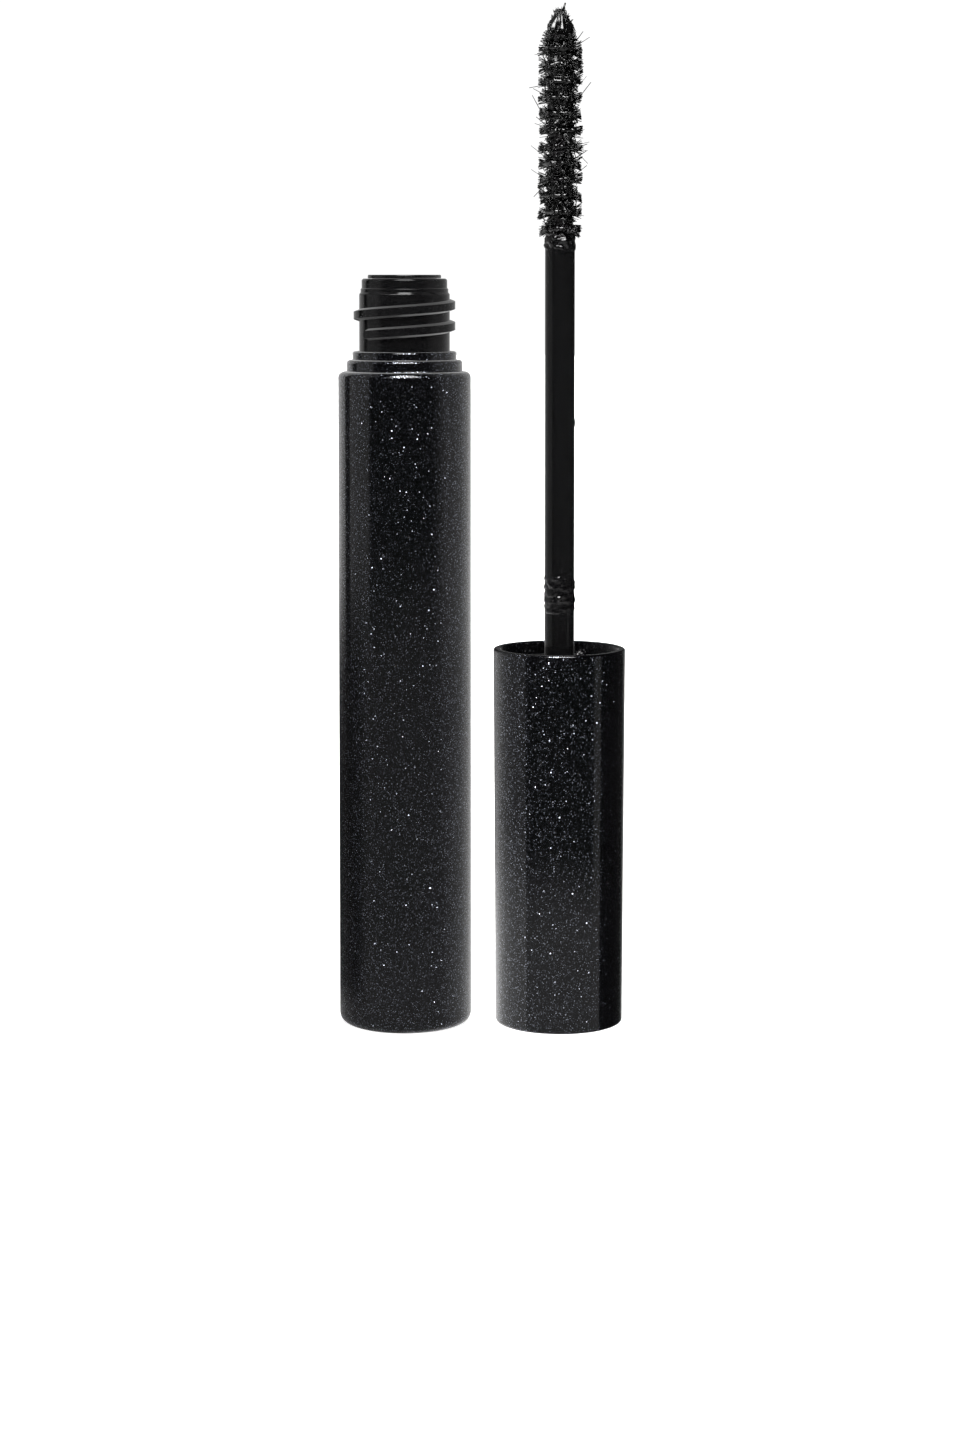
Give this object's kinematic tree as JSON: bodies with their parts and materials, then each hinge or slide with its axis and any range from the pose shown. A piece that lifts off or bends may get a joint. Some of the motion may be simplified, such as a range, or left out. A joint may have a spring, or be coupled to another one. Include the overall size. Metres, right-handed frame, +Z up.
{
  "type": "mascara tube",
  "caption": "Open mascara tube: lacquered bottle with a threaded neck and wiper, and beside it the screw cap with its wand and grooved brush standing brush up.",
  "frame": {"origin": "centre of the bottle's foot, on the surface it stands on", "axes": "+Z up along the bottle's axis; +X from the bottle's axis to the applicator's axis"},
  "size_m": [0.0347, 0.016, 0.1228],
  "materials": {
    "flecked_lacquer": "black gloss lacquer with fine silver flecks",
    "black_gloss": "plain gloss black moulding",
    "black_satin": "satin black moulding",
    "wiper_soft": "soft black polyethylene",
    "seal_rubber": "matt elastomer",
    "paste": "wet black paste",
    "twisted_wire": "drawn steel",
    "bristle": "black nylon filament, wet with paste"
  },
  "bodies": {
    "bottle": {"bottle_sleeve": "flecked_lacquer", "base_plug": "black_satin", "inner_vial": "black_gloss", "wiper": "wiper_soft", "mascara_fill": "paste"},
    "cap_seal": {"cap_seal_washer": "seal_rubber"},
    "applicator": {"cap_shell": "flecked_lacquer", "cap_liner": "black_satin", "wand_stem": "black_gloss", "brush_wire": "twisted_wire", "groove_bristles": "bristle", "tip_tuft": "bristle", "bristle_ring_01": "bristle", "bristle_ring_02": "bristle", "bristle_ring_03": "bristle", "bristle_ring_04": "bristle", "bristle_ring_05": "bristle", "bristle_ring_06": "bristle", "bristle_ring_07": "bristle", "bristle_ring_08": "bristle", "bristle_ring_09": "bristle", "bristle_ring_10": "bristle", "bristle_ring_11": "bristle", "bristle_ring_12": "bristle"}
  },
  "joints": [
    {"name": "applicator_lift", "type": "slide", "parent": "bottle", "child": "cap_seal", "axis": [0, 0, 1], "range_m": [0, 0.1]},
    {"name": "cap_twist", "type": "hinge", "parent": "cap_seal", "child": "applicator", "pos_m": [0.0187, 0, 0], "axis": [0, 0, 1], "range_deg": [0, 400]}
  ]
}
